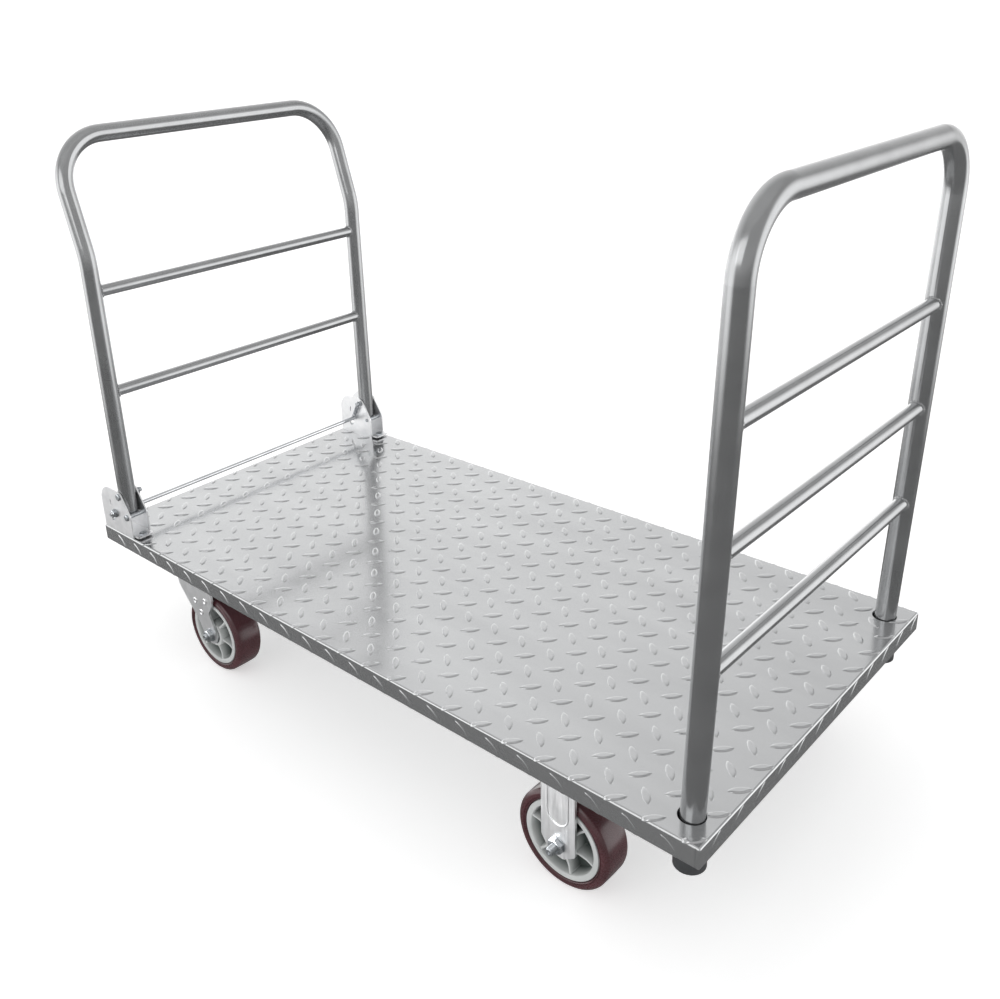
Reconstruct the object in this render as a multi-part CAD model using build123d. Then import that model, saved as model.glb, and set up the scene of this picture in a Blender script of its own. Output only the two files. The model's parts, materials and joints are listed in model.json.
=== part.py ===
from build123d import *
import math
import os

os.makedirs("parts", exist_ok=True)

# Flatbed platform truck: a folded tread-plate deck on two swivel and two rigid casters,
# a folding handle in a pair of locking brackets and a removable handle in two sockets.
# Millimetres. Origin on the floor under the middle of the deck. +X towards the removable
# handle, +Y across the deck, +Z up.

# Deck
deck_length = 1200.0
deck_width = 600.0
sheet = 2.0
skirt_depth = 28.0
deck_edge_radius = 3.0
channel_width = 132.0
channel_wall = 3.0
middle_channel_width = 60.0

# Casters
wheel_headroom = 22.0
caster_side_inset = 55.0
kingpin_inset = 217.0
rigid_inset = 207.0
swivel_offset = 42.0
wheel_diameter = 140.0
wheel_width = 48.0
tread_thickness = 14.0
tread_shoulder = 7.0
rim_wall = 7.0
hub_radius = 23.0
hub_extra = 1.5
web_thickness = 6.0
spoke_count = 6
spoke_thickness = 5.0
spoke_setback = 4.0
bearing_radius = 17.5
bearing_depth = 11.0
sleeve_radius = 8.5
axle_radius = 6.0
plate_length = 114.0
plate_width = 100.0
plate_thickness = 4.0
plate_corner = 8.0
bolt_spacing_x = 84.0
bolt_spacing_y = 72.0
fork_wall = 4.0
fork_gap = 1.0
fork_leg_width = 50.0
fork_foot_radius = 17.0
crown_flare = 3.0
race_radius = 38.0
race_height = 9.0
race_lip = 3.0
ball_count = 20
ball_circle = 32.0
kingpin_radius = 6.0
kingpin_past_nut = 2.0
bolt_past_nut = 2.0

# Fasteners: shank radius, across flats, head height
m12 = (6.0, 19.0, 8.0)
m10 = (5.0, 17.0, 6.4)
m8 = (4.0, 13.0, 5.3)
washer_thickness = 1.8
washer_radius = 8.0
thread_past_nut = 5.0

# Handle tubes
tube_diameter = 28.6
tube_wall = 1.8
bar_diameter = 19.0
bar_wall = 1.5
handle_overreach = 2.0

# Folding handle, heights above the deck
folding_post_inset = 65.8
folding_top = 668.0
folding_kink = 486.0
kink_radius = 110.0
folding_corner_radius = 84.0
folding_bars = (258.5, 430.0)
pivot_height = 72.0
pivot_radius = 4.0

# Hinge brackets
cheek_thickness = 2.5
cheek_height = 88.0
cheek_back_radius = 40.0
cheek_top_radius = 12.0
cheek_slope_radius = 8.0
cheek_slope_height = 42.0
cheek_slope_run = 26.0
cheek_side_gap = 0.5
bracket_inset = 1.0
base_thickness = 3.0
foot_length = 16.0
stop_radius = 3.5
stop_height = 38.0
stop_margin = 3.8
stop_proud = 1.5
pin_head = 3.0
pin_head_rim = 2.5
pin_head_round = 1.8
slit_size = (3.0, 12.0)

# Lock rod: where it lies behind each post and how far the foot pushes it
rod_radius = 4.0
rod_chamfer = 0.8
rod_past_nut = 2.5
rod_gap = 1.3
rod_drop = 36.0
rod_press_back = 11.0
rod_press_down = 15.5
spring_radius = 4.0
spring_wire = 1.2

# Removable handle and its sockets, heights above the deck
socket_inset = 33.4
socket_side_inset = 39.7
socket_depth = 68.0
socket_wall = 3.2
socket_play = 1.6
socket_floor = 4.0
socket_foot_radius = 1.0
drain_radius = 8.0
removable_top = 674.6
removable_corner_radius = 74.0
removable_bars = (184.0, 323.0, 463.0)

# Clearances between pieces
running = 0.05
slip = 0.3
loose = 0.6
bolt_play = 0.5

caster_height = wheel_diameter + wheel_headroom + fork_wall + race_height + plate_thickness
deck_height = caster_height + skirt_depth
under_sheet = deck_height - sheet
inner_half_width = deck_width / 2 - sheet
wheel_radius = wheel_diameter / 2
tube_radius = tube_diameter / 2
top_rail_x = deck_length / 2 + handle_overreach - tube_radius
post_x = -(deck_length / 2 - folding_post_inset)
post_y = deck_width / 2 - cheek_side_gap - cheek_thickness - cheek_side_gap - tube_radius
cheek_gap = tube_diameter + 2 * cheek_side_gap
cheek_back = -(deck_length / 2 - bracket_inset)
pivot_z = deck_height + pivot_height
rod_back = tube_radius + rod_gap + rod_radius
rod_x = post_x - rod_back
rod_z = pivot_z - rod_drop
stop_x = post_x + tube_radius + slip + stop_radius
stop_z = deck_height + stop_height
cheek_front = stop_x + stop_radius + stop_margin
washer_side = post_y + cheek_gap / 2 + cheek_thickness + slip
kingpin_x = -(deck_length / 2 - kingpin_inset)
caster_side = deck_width / 2 - caster_side_inset
swivel_wheel_x = kingpin_x + swivel_offset
rigid_x = deck_length / 2 - rigid_inset
socket_x = deck_length / 2 - socket_inset
socket_side = deck_width / 2 - socket_side_inset
leg_inner = wheel_width / 2 + hub_extra + fork_gap
leg_outer = leg_inner + fork_wall
plate_bottom = caster_height - plate_thickness
crown_top = plate_bottom - race_height
crown_bottom = crown_top - fork_wall
rim_radius = wheel_radius - tread_thickness
bearing_seat = wheel_width / 2 + hub_extra - bearing_depth / 2


def save(name, shape):
    export_step(shape, f"parts/{name}.step")


def upright(radius, x, y, low, high):
    return Pos(x, y, (low + high) / 2) * Cylinder(radius, high - low)


def across(radius, x, z, low, high):
    return Pos(x, (low + high) / 2, z) * Rot(90, 0, 0) * Cylinder(radius, high - low)


def block(x_low, x_high, y_low, y_high, z_low, z_high):
    size = Box(x_high - x_low, y_high - y_low, z_high - z_low)
    return Pos((x_low + x_high) / 2, (y_low + y_high) / 2, (z_low + z_high) / 2) * size


def hexagon(flats, height, bore=0.0):
    shape = extrude(RegularPolygon(flats / 2, 6, major_radius=False), height)
    if bore:
        shape -= upright(bore, 0, 0, -height, 2 * height)
    return shape


def side_profile(points, y_low, y_high):
    """Solid with its outline in the XZ plane, from y_low to y_high."""
    wire = Polyline(*[(x, y_low, z) for x, z in points], close=True)
    face = make_face(wire)
    return extrude(face, amount=y_high - y_low, dir=(0, 1, 0))


def rounded_profile(points, radii, y_low, y_high):
    """Side profile whose corner at each point has the given radius, sharp where it is 0."""
    shape = side_profile(points, y_low, y_high)
    for (x, z), radius in zip(points, radii):
        if radius > 0:
            edges = shape.edges().filter_by(Axis.Y)
            nearest = edges.sort_by(lambda e: math.hypot(e.center().X - x, e.center().Z - z))[0]
            shape = fillet(nearest, radius)
    return shape


# Deck


def deck_plate():
    half_length = deck_length / 2
    half_width = deck_width / 2
    tray = block(-half_length, half_length, -half_width, half_width, caster_height, deck_height)
    top_edges = tray.faces().sort_by(Axis.Z)[-1].edges()
    tray = fillet(top_edges, deck_edge_radius)
    inner_length = half_length - sheet
    hollow = block(-inner_length, inner_length, -inner_half_width, inner_half_width, 0, under_sheet)
    tray -= hollow
    socket_hole = tube_radius + socket_play + loose
    for side in (-1, 1):
        tray -= upright(socket_hole, socket_x, side * socket_side, 0, 2 * deck_height)
        for x in bracket_bolt_places():
            tray -= upright(m8[0] + bolt_play, x, side * post_y, 0, 2 * deck_height)
    return tray


def cross_channel(x, width, bolts):
    half = width / 2
    channel = block(x - half, x + half, -inner_half_width, inner_half_width, caster_height, under_sheet)
    half -= channel_wall
    floor_top = caster_height + channel_wall
    channel -= block(x - half, x + half, -deck_width, deck_width, floor_top, deck_height)
    for bolt_x, bolt_y in bolts:
        channel -= upright(m10[0] + bolt_play, bolt_x, bolt_y, 0, deck_height)
    return channel


def plate_bolt_places(x):
    return [
        (x + dx * bolt_spacing_x / 2, side * (caster_side + dy * bolt_spacing_y / 2))
        for side in (-1, 1)
        for dx in (-1, 1)
        for dy in (-1, 1)
    ]


# Hinge brackets

def bracket_bolt_places():
    rear = cheek_back + m8[1]
    front = cheek_front + foot_length / 2
    return rear, front


def cheek(y_low, y_high):
    top = deck_height + cheek_height
    slope = deck_height + cheek_slope_height
    shape = rounded_profile(
        [
            (cheek_back, deck_height),
            (cheek_back, top),
            (cheek_front - cheek_slope_run, top),
            (cheek_front, slope),
            (cheek_front, deck_height),
        ],
        [0, cheek_back_radius, cheek_top_radius, cheek_slope_radius, 0],
        y_low,
        y_high,
    )
    shape -= across(pivot_radius, post_x, pivot_z, y_low - 1, y_high + 1)
    shape -= across(stop_radius, stop_x, stop_z, y_low - 1, y_high + 1)
    slot_radius = rod_radius + slip
    released = (rod_x - rod_press_back, rod_z - rod_press_down)
    slot = across(slot_radius, rod_x, rod_z, y_low - 1, y_high + 1)
    slot += across(slot_radius, released[0], released[1], y_low - 1, y_high + 1)
    length = math.hypot(rod_press_back, rod_press_down)
    tilt = math.degrees(math.atan2(rod_press_back, rod_press_down))
    middle = Pos((rod_x + released[0]) / 2, (y_low + y_high) / 2, (rod_z + released[1]) / 2)
    slot += middle * Rot(0, tilt, 0) * Box(2 * slot_radius, y_high - y_low + 2, length)
    shape -= slot
    slit_z = rod_z + slot_radius + slit_size[1]
    shape -= Pos(rod_x - rod_press_back, (y_low + y_high) / 2, slit_z) * Box(
        slit_size[0], y_high - y_low + 2, slit_size[1]
    )
    return shape


def hinge_bracket(side):
    half = cheek_gap / 2
    middle = side * post_y
    outer = cheek(middle + half, middle + half + cheek_thickness)
    inner = cheek(middle - half - cheek_thickness, middle - half)
    foot_front = cheek_front + foot_length
    base_top = deck_height + base_thickness
    base = block(cheek_back, foot_front, middle - half, middle + half, deck_height, base_top)
    shape = outer + inner + base
    for x in bracket_bolt_places():
        shape -= upright(m8[0] + bolt_play, x, middle, 0, 2 * deck_height)
    return shape


def headed_pin(x, z, radius, side, proud):
    """Pin through both cheeks, domed head outside, inner end standing proud."""
    half = cheek_gap / 2 + cheek_thickness
    outer = side * (post_y + half)
    inner = side * (post_y - half - proud)
    low, high = sorted((inner, outer))
    pin = across(radius, x, z, low, high)
    low, high = sorted((outer, outer + side * pin_head))
    cap = across(radius + pin_head_rim, x, z, low, high)
    rim = cap.edges().filter_by(GeomType.CIRCLE).sort_by(lambda e: -side * e.center().Y)[0]
    return pin + fillet(rim, pin_head_round)


def hex_bolt(size, x, y, head_z, tip_z):
    """Upright hexagon-head bolt, head above head_z and thread down to tip_z."""
    radius, flats, head = size
    shank = upright(radius, x, y, tip_z, head_z)
    return shank + Pos(x, y, head_z) * hexagon(flats, head)


def hex_nut(size, x, y, top_z):
    radius, flats, height = size
    return Pos(x, y, top_z - height) * hexagon(flats, height, bore=radius)


def bracket_bolts():
    bolts = []
    nuts = []
    for side in (-1, 1):
        for x in bracket_bolt_places():
            tip = under_sheet - m8[2] - thread_past_nut
            bolts.append(hex_bolt(m8, x, side * post_y, deck_height + base_thickness, tip))
            nuts.append(hex_nut(m8, x, side * post_y, under_sheet))
    return Compound(children=bolts), Compound(children=nuts)


# Handles


def bent_tube(points, radii):
    path = FilletPolyline(*points, radius=radii)
    start = Plane(origin=path @ 0, z_dir=path % 0)
    outer = sweep(start * Circle(tube_radius), path=path)
    inner = sweep(start * Circle(tube_radius - tube_wall), path=path)
    return outer, inner


def cross_bar(x, z, half_width, posts):
    bar = across(bar_diameter / 2, x, z, -half_width, half_width)
    return bar - across(bar_diameter / 2 - bar_wall, x, z, -half_width, half_width) - posts


def folding_handle():
    top = deck_height + folding_top
    kink = deck_height + folding_kink
    heel = math.hypot(rod_back, rod_drop) - rod_radius - loose
    foot = pivot_z - heel - tube_wall
    points = [
        (post_x, -post_y, foot),
        (post_x, -post_y, kink),
        (-top_rail_x, -post_y, top),
        (-top_rail_x, post_y, top),
        (post_x, post_y, kink),
        (post_x, post_y, foot),
    ]
    corner = folding_corner_radius
    outer, inner = bent_tube(points, [kink_radius, corner, corner, kink_radius])
    loop = outer - inner
    for side in (-1, 1):
        low, high = side * post_y - tube_diameter, side * post_y + tube_diameter
        loop -= across(pivot_radius + running, post_x, pivot_z, low, high)
        keep = across(heel, post_x, pivot_z, low, high)
        below = block(post_x - tube_diameter, post_x + tube_diameter, low, high, deck_height, pivot_z)
        loop -= below - keep
    bars = [cross_bar(post_x, deck_height + z, post_y, outer) for z in folding_bars]
    return loop, bars


def removable_handle():
    lean = math.degrees(math.atan2(top_rail_x - socket_x, removable_top + socket_depth / 2))
    turn_z = deck_height - socket_depth / 2
    height = (removable_top + socket_depth / 2) / math.cos(math.radians(lean))
    foot = -(socket_depth / 2 - socket_floor - slip) + tube_radius * math.sin(math.radians(lean))
    points = [
        (0, -socket_side, foot),
        (0, -socket_side, height),
        (0, socket_side, height),
        (0, socket_side, foot),
    ]
    outer, inner = bent_tube(points, [removable_corner_radius, removable_corner_radius])
    place = Pos(socket_x, 0, turn_z) * Rot(0, lean, 0)
    bars = []
    for z in removable_bars:
        along = (z + socket_depth / 2) / math.cos(math.radians(lean))
        bars.append(place * cross_bar(0, along, socket_side, outer))
    return place * (outer - inner), bars


def handle_socket(side):
    bore = tube_radius + socket_play
    low = deck_height - socket_depth
    y = side * socket_side
    socket = upright(bore + socket_wall, socket_x, y, low, under_sheet)
    socket -= upright(bore, socket_x, y, low + socket_floor, deck_height)
    socket -= upright(drain_radius, socket_x, y, low - 1, deck_height)
    foot = socket.edges().filter_by(GeomType.CIRCLE).group_by(Axis.Z)[0]
    return fillet(foot.sort_by(SortBy.RADIUS)[-1], socket_foot_radius)


# Lock rod


def lock_rod():
    end = washer_side + washer_thickness + m8[2] + rod_past_nut
    rod = across(rod_radius, rod_x, rod_z, -end, end)
    return chamfer(rod.edges().filter_by(GeomType.CIRCLE), rod_chamfer)


def lock_rod_nuts():
    pieces = []
    for side in (-1, 1):
        near = side * washer_side
        far = side * (washer_side + washer_thickness)
        low, high = sorted((near, far))
        washer = across(washer_radius, rod_x, rod_z, low, high)
        washer -= across(rod_radius, rod_x, rod_z, low - 1, high + 1)
        nut = hexagon(m8[1], m8[2], bore=rod_radius)
        pieces += [washer, Pos(rod_x, far, rod_z) * Rot(-90 * side, 0, 0) * nut]
    return Compound(children=pieces)


def lock_springs():
    """Closed body of each spring with an eye round the pivot pin and one round the rod."""
    springs = []
    length = math.hypot(rod_back, rod_drop)
    tilt = math.degrees(math.atan2(rod_back, rod_drop))
    eye = rod_radius + loose + spring_wire / 2
    body = length - 2 * (eye + spring_wire / 2) + spring_wire
    for side in (-1, 1):
        y = side * (post_y - cheek_gap / 2 - cheek_thickness - spring_radius - loose)
        coil = Cylinder(spring_radius, body)
        ends = Pos(0, 0, length / 2) * Rot(90, 0, 0) * Torus(eye, spring_wire / 2)
        ends += Pos(0, 0, -length / 2) * Rot(90, 0, 0) * Torus(eye, spring_wire / 2)
        middle = Pos((post_x + rod_x) / 2, y, (pivot_z + rod_z) / 2) * Rot(0, tilt, 0)
        springs.append(middle * (coil + ends))
    return Compound(children=springs)


# Casters


def mounting_plate(x, y):
    middle_z = (plate_bottom + caster_height) / 2
    plate = Pos(x, y, middle_z) * Box(plate_length, plate_width, plate_thickness)
    plate = fillet(plate.edges().filter_by(Axis.Z), plate_corner)
    for bolt_x, bolt_y in plate_bolt_places(x):
        plate -= upright(m10[0] + bolt_play, bolt_x, bolt_y, 0, deck_height)
    return plate


def fork_leg(left, right, top, y, side, axle_x):
    """Flat leg from its top edge down to a round foot at the axle."""
    low, high = sorted((y + side * leg_inner, y + side * leg_outer))
    foot = fork_foot_radius
    points = [(left, top), (right, top), (axle_x + foot, wheel_radius), (axle_x - foot, wheel_radius)]
    leg = side_profile(points, low, high) + across(foot, axle_x, wheel_radius, low, high)
    return leg - across(axle_radius, axle_x, wheel_radius, low - 1, high + 1)


def rigid_fork(side):
    y = side * caster_side
    fork = mounting_plate(rigid_x, y)
    half = fork_leg_width / 2
    for leg_side in (-1, 1):
        fork += fork_leg(rigid_x - half, rigid_x + half, plate_bottom, y, leg_side, rigid_x)
    return fork


def swivel_fork(side):
    y = side * caster_side
    crown = upright(race_radius, kingpin_x, y, crown_bottom, crown_top)
    half = fork_leg_width / 2 + crown_flare
    left, right = kingpin_x - half, kingpin_x + half
    crown += block(left, right, y - leg_outer, y + leg_outer, crown_bottom, crown_top)
    for leg_side in (-1, 1):
        crown += fork_leg(left, right, crown_bottom, y, leg_side, swivel_wheel_x)
    return crown - upright(kingpin_radius + running, kingpin_x, y, 0, deck_height)


def swivel_plate(side):
    y = side * caster_side
    plate = mounting_plate(kingpin_x, y)
    lip = upright(race_radius, kingpin_x, y, plate_bottom - race_lip, plate_bottom)
    lip -= upright(race_radius - fork_wall / 2, kingpin_x, y, 0, plate_bottom)
    return plate + lip - upright(kingpin_radius, kingpin_x, y, 0, deck_height)


def race_balls(side):
    radius = race_height / 2 - slip
    balls = []
    for i in range(ball_count):
        angle = 2 * math.pi * i / ball_count
        x = kingpin_x + ball_circle * math.cos(angle)
        y = side * caster_side + ball_circle * math.sin(angle)
        balls.append(Pos(x, y, crown_top + race_height / 2) * Sphere(radius))
    return Compound(children=balls)


def kingpins():
    pins = []
    nuts = []
    for side in (-1, 1):
        y = side * caster_side
        nut_top = crown_bottom - slip
        tip = nut_top - m12[2] - kingpin_past_nut
        pins.append(upright(kingpin_radius, kingpin_x, y, tip, caster_height))
        nuts.append(hex_nut(m12, kingpin_x, y, nut_top))
    return Compound(children=pins), Compound(children=nuts)


def caster_bolts():
    bolts = []
    nuts = []
    for x in (kingpin_x, rigid_x):
        for bolt_x, bolt_y in plate_bolt_places(x):
            tip = plate_bottom - m10[2] - bolt_past_nut
            bolts.append(hex_bolt(m10, bolt_x, bolt_y, caster_height + channel_wall, tip))
            nuts.append(hex_nut(m10, bolt_x, bolt_y, plate_bottom))
    return Compound(children=bolts), Compound(children=nuts)


def axle(x, side):
    """Axle bolt with its head inboard, and its nut outboard."""
    y = side * caster_side
    outer = y + side * leg_outer
    inner = y - side * leg_outer
    tip = outer + side * (m12[2] + thread_past_nut)
    low, high = sorted((inner, tip))
    bolt = across(axle_radius, x, wheel_radius, low, high)
    bolt += Pos(x, inner, wheel_radius) * Rot(90 * side, 0, 0) * hexagon(m12[1], m12[2])
    nut = Pos(x, outer, wheel_radius) * Rot(-90 * side, 0, 0) * hexagon(m12[1], m12[2], bore=axle_radius)
    return bolt, nut


def axle_sleeve(x, side):
    y = side * caster_side
    sleeve = across(sleeve_radius, x, wheel_radius, y - leg_inner, y + leg_inner)
    return sleeve - across(axle_radius, x, wheel_radius, y - leg_outer, y + leg_outer)


def wheel_place(x, side):
    return Pos(x, side * caster_side, wheel_radius) * Rot(90, 0, 0)


def wheel_core():
    rim = Cylinder(rim_radius, wheel_width) - Cylinder(rim_radius - rim_wall, wheel_width)
    hub = Cylinder(hub_radius, wheel_width + 2 * hub_extra)
    web = Cylinder(rim_radius - rim_wall / 2, web_thickness)
    core = rim + hub + web
    reach = rim_radius - rim_wall / 2
    for i in range(spoke_count):
        spoke = Pos(reach / 2, 0, 0) * Box(reach, spoke_thickness, wheel_width - 2 * spoke_setback)
        core += Rot(0, 0, 360 / spoke_count * i) * spoke
    core -= Cylinder(sleeve_radius + loose, 2 * wheel_width)
    for end in (-1, 1):
        core -= Pos(0, 0, end * bearing_seat) * Cylinder(bearing_radius, bearing_depth)
    return core


def wheel_tread():
    tyre = Cylinder(wheel_radius, wheel_width)
    tyre = fillet(tyre.edges().filter_by(GeomType.CIRCLE), tread_shoulder)
    return tyre - Cylinder(rim_radius, 2 * wheel_width)


def wheel_bearings():
    rings = []
    for end in (-1, 1):
        ring = Cylinder(bearing_radius, bearing_depth)
        ring -= Cylinder(sleeve_radius + running, bearing_depth)
        rings.append(Pos(0, 0, end * bearing_seat) * ring)
    return rings


save("deck_plate", deck_plate())
save("cross_channel_swivel", cross_channel(kingpin_x, channel_width, plate_bolt_places(kingpin_x)))
save("cross_channel_middle", cross_channel(0, middle_channel_width, []))
save("cross_channel_rigid", cross_channel(rigid_x, channel_width, plate_bolt_places(rigid_x)))

bolts, nuts = bracket_bolts()
save("bracket_bolts", bolts)
save("bracket_nuts", nuts)
spring_room = 2 * (spring_radius + loose)
pivot_pins = [headed_pin(post_x, pivot_z, pivot_radius, side, spring_room) for side in (-1, 1)]
stop_pins = [headed_pin(stop_x, stop_z, stop_radius, side, stop_proud) for side in (-1, 1)]
save("pivot_pins", Compound(children=pivot_pins))
save("stop_pins", Compound(children=stop_pins))

loop, bars = folding_handle()
save("folding_handle_loop", loop)
for name, bar in zip(("lower", "upper"), bars):
    save(f"folding_handle_bar_{name}", bar)
loop, bars = removable_handle()
save("removable_handle_loop", loop)
for name, bar in zip(("lower", "middle", "upper"), bars):
    save(f"removable_handle_bar_{name}", bar)

save("lock_rod", lock_rod())
save("lock_rod_nuts", lock_rod_nuts())
save("lock_springs", lock_springs())

pins, nuts = kingpins()
save("kingpins", pins)
save("kingpin_nuts", nuts)
bolts, nuts = caster_bolts()
save("caster_bolts", bolts)
save("caster_nuts", nuts)

core = wheel_core()
tread = wheel_tread()
bearings = wheel_bearings()
for name, side in (("near", -1), ("far", 1)):
    save(f"hinge_bracket_{name}", hinge_bracket(side))
    save(f"handle_socket_{name}", handle_socket(side))
    save(f"rigid_fork_{name}", rigid_fork(side))
    save(f"swivel_plate_{name}", swivel_plate(side))
    save(f"swivel_fork_{name}", swivel_fork(side))
    save(f"race_balls_{name}", race_balls(side))
    for kind, x in (("rigid", rigid_x), ("swivel", swivel_wheel_x)):
        bolt, nut = axle(x, side)
        place = wheel_place(x, side)
        save(f"{kind}_axle_{name}", bolt)
        save(f"{kind}_axle_nut_{name}", nut)
        save(f"{kind}_sleeve_{name}", axle_sleeve(x, side))
        save(f"{kind}_core_{name}", place * core)
        save(f"{kind}_tread_{name}", place * tread)
        save(f"{kind}_bearings_{name}", Compound(children=[place * ring for ring in bearings]))
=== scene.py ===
import bpy, bmesh, json, math, random
from mathutils import Matrix, Vector, geometry

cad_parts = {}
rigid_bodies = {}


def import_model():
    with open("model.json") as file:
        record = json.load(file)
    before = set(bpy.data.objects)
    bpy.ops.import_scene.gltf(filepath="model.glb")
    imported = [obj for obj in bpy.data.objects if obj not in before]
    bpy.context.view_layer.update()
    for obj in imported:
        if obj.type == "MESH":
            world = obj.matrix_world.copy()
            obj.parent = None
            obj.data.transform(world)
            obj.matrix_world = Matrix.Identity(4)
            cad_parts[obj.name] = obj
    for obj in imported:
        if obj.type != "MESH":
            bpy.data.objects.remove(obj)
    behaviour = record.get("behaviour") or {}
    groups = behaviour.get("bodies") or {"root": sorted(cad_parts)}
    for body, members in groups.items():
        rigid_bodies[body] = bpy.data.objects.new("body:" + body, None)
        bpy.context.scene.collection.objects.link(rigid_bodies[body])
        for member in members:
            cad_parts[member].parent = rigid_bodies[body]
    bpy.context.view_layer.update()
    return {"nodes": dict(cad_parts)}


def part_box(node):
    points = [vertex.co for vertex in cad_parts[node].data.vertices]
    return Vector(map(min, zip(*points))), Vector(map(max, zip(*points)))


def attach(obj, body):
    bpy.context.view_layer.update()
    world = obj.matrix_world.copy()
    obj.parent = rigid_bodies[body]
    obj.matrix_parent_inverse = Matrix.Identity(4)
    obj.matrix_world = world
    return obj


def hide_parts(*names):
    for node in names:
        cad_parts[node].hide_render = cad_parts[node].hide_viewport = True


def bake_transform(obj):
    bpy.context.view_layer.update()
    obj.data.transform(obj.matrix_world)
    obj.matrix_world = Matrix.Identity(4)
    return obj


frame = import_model()
mm = 0.001
ends = (("near", -1), ("far", 1))


def toLinear(hexColour):
    channels = [int(hexColour[i:i + 2], 16) / 255 for i in (1, 3, 5)]
    return [c / 12.92 if c <= 0.04045 else ((c + 0.055) / 1.055) ** 2.4 for c in channels] + [1.0]


def addNode(tree, kind, settings=None, links=None):
    node = tree.nodes.new(kind)
    for key, value in (settings or {}).items():
        if isinstance(key, str) and hasattr(node, key):
            setattr(node, key, value)
        else:
            node.inputs[key].default_value = value
    for key, source in (links or {}).items():
        tree.links.new(source, node.inputs[key])
    return node


def startMaterial(name):
    material = bpy.data.materials.new(name)
    material.use_nodes = True
    tree = material.node_tree
    tree.nodes.clear()
    shader = addNode(tree, "ShaderNodeBsdfPrincipled")
    addNode(tree, "ShaderNodeOutputMaterial", links={"Surface": shader.outputs["BSDF"]})
    place = addNode(tree, "ShaderNodeTexCoord").outputs["Object"]
    return material, tree, shader, place


def perMetre(millimetres):
    return 1000.0 / millimetres


def fromTo(start, stop, low, high):
    # settings that carry the span start to stop over to low to high
    return {"From Min": start, "From Max": stop, "To Min": low, "To Max": high}


def twoTone(tree, value, dark, light, start=0.3, stop=0.7):
    share = addNode(tree, "ShaderNodeMapRange", fromTo(start, stop, 0.0, 1.0), {"Value": value}).outputs["Result"]
    mix = addNode(tree, "ShaderNodeMixRGB", {"Color1": toLinear(dark), "Color2": toLinear(light)}, {"Fac": share})
    return mix.outputs["Color"]


def bumped(tree, shader, layers):
    # stacks (pattern, strength, depth in mm) on the shader's normal
    normal = None
    for height, strength, depth in layers:
        links = {"Height": height}
        if normal:
            links["Normal"] = normal
        bump = addNode(tree, "ShaderNodeBump", {"Strength": strength, "Distance": depth * mm}, links)
        normal = bump.outputs["Normal"]
    tree.links.new(normal, shader.inputs["Normal"])


def setGloss(tree, shader, value, gloss):
    rough = addNode(tree, "ShaderNodeMapRange", fromTo(0.3, 0.7, gloss[0], gloss[1]), {"Value": value})
    tree.links.new(rough.outputs["Result"], shader.inputs["Roughness"])
    return rough.outputs["Result"]


def paintedSteel(name, look):
    # stoved metallic enamel sprayed over steel: flake sheen, a slight orange peel and soft clouding
    material, tree, shader, place = startMaterial(name)
    rolled = addNode(tree, "ShaderNodeMapping", {"Scale": look.get("grain", (1.0, 1.0, 1.0))},
                     {"Vector": place}).outputs["Vector"]
    clouds, peel, flake, dust = [
        addNode(tree, "ShaderNodeTexNoise", {"Scale": perMetre(size), "Detail": detail}, {"Vector": at}).outputs["Fac"]
        for size, detail, at in ((look["cloudMm"], 3.0, rolled), (look["peelMm"], 2.0, place),
                                 (look["flakeMm"], 0.0, place), (look["dustMm"], 6.0, place))]
    colour = addNode(tree, "ShaderNodeMixRGB", {"blend_type": "MULTIPLY", "Fac": look["flakeShare"]},
                     {"Color1": twoTone(tree, clouds, look["dark"], look["light"]),
                      "Color2": twoTone(tree, flake, "#c8c8c8", "#ffffff")}).outputs["Color"]
    tree.links.new(colour, shader.inputs["Base Color"])
    clean = setGloss(tree, shader, clouds, look["gloss"])
    dull = addNode(tree, "ShaderNodeMapRange", fromTo(0.4, 0.8, 0.0, look["dustDulls"]), {"Value": dust})
    rough = addNode(tree, "ShaderNodeMath", {"operation": "ADD"}, {0: clean, 1: dull.outputs["Result"]})
    tree.links.new(rough.outputs["Value"], shader.inputs["Roughness"])
    shader.inputs["Metallic"].default_value = look["metallic"]
    shader.inputs["Coat Weight"].default_value = look["coat"]
    shader.inputs["Coat Roughness"].default_value = 0.08
    bumped(tree, shader, [(peel, look["peel"], 0.02)])
    return material


def zincPlate(name, look):
    # plated steel: pale, brushed along the sheet, with faint cloudy passivation
    material, tree, shader, place = startMaterial(name)
    brushed = addNode(tree, "ShaderNodeMapping", {"Scale": look["grain"]}, {"Vector": place}).outputs["Vector"]
    clouds, rolled = [
        addNode(tree, "ShaderNodeTexNoise", {"Scale": perMetre(size), "Detail": detail}, {"Vector": at}).outputs["Fac"]
        for size, detail, at in ((look["cloudMm"], 4.0, place), (look["grainMm"], 3.0, brushed))]
    tree.links.new(twoTone(tree, clouds, look["dark"], look["light"]), shader.inputs["Base Color"])
    setGloss(tree, shader, rolled, look["gloss"])
    shader.inputs["Metallic"].default_value = 1.0
    bumped(tree, shader, [(rolled, 0.10, 0.02), (clouds, 0.12, 0.05)])
    return material


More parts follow.
